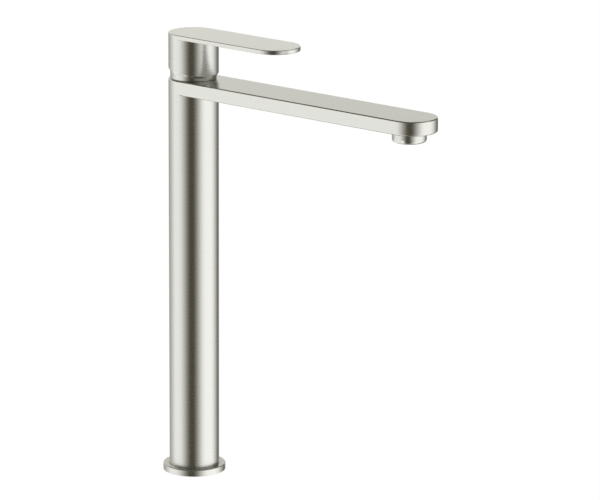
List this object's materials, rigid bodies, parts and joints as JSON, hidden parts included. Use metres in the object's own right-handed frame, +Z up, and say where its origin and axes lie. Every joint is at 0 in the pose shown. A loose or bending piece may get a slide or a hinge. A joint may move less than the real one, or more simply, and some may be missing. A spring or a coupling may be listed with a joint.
{
  "type": "single-lever basin mixer tap",
  "caption": "Tall deck-mounted basin mixer: round column, flat round-ended spout with aerator, and a flat lever on a ceramic-disc cartridge.",
  "frame": {"origin": "on the column's axis, in the plane of the basin's deck that the base flange stands on", "axes": "+Z up along the column; +X the way the spout and the closed lever point; +Y to the left when looking along the spout"},
  "size_m": [0.2396, 0.0452, 0.3235],
  "materials": {
    "brushed_nickel": "brushed nickel plate over brass, fine even grain",
    "brass": "machined, bare",
    "ceramic": "lapped alumina",
    "cartridge_plastic": "moulded, natural white",
    "rotor_plastic": "moulded, dark",
    "aerator_plastic": "moulded, pale",
    "rubber": "moulded",
    "steel": "bright drawn steel"
  },
  "bodies": {
    "root": {"base_flange": "brushed_nickel", "base_gasket": "rubber", "base_insert": "brass", "column_tube": "brushed_nickel", "spout_body": "brushed_nickel", "aerator_housing": "brushed_nickel", "aerator_washer": "rubber", "aerator_insert": "aerator_plastic", "aerator_screen": "aerator_plastic", "valve_body": "brass", "cartridge_base": "cartridge_plastic", "cartridge_base_seals": "rubber", "fixed_ceramic_disc": "ceramic", "cartridge_housing": "cartridge_plastic", "housing_seal": "rubber", "turn_limit_ring": "rotor_plastic", "cartridge_nut": "brass", "cover_ring_seal": "rubber", "cover_ring": "brushed_nickel"},
    "rotor": {"cartridge_rotor": "rotor_plastic", "pivot_pin": "steel"},
    "disc": {"moving_ceramic_disc": "ceramic", "disc_carrier": "rotor_plastic"},
    "lever": {"handle": "brushed_nickel", "lever_stem": "steel", "handle_set_screw": "steel", "screw_cap": "brushed_nickel"}
  },
  "joints": [
    {"name": "temperature_turn", "type": "hinge", "parent": "root", "child": "rotor", "pos_m": [0, 0, 0.2945], "axis": [0, 0, 1], "range_deg": [-50, 50]},
    {"name": "flow_lift", "type": "hinge", "parent": "rotor", "child": "lever", "pos_m": [0, 0, 0.2945], "axis": [0, -1, 0], "range_deg": [0, 20]},
    {"name": "disc_slide", "type": "slide", "parent": "rotor", "child": "disc", "axis": [1, 0, 0], "range_m": [0, 0.0042]}
  ],
  "couplings": [
    {"joint": "disc_slide", "follows": "flow_lift", "m_per_rad": 0.01182}
  ]
}
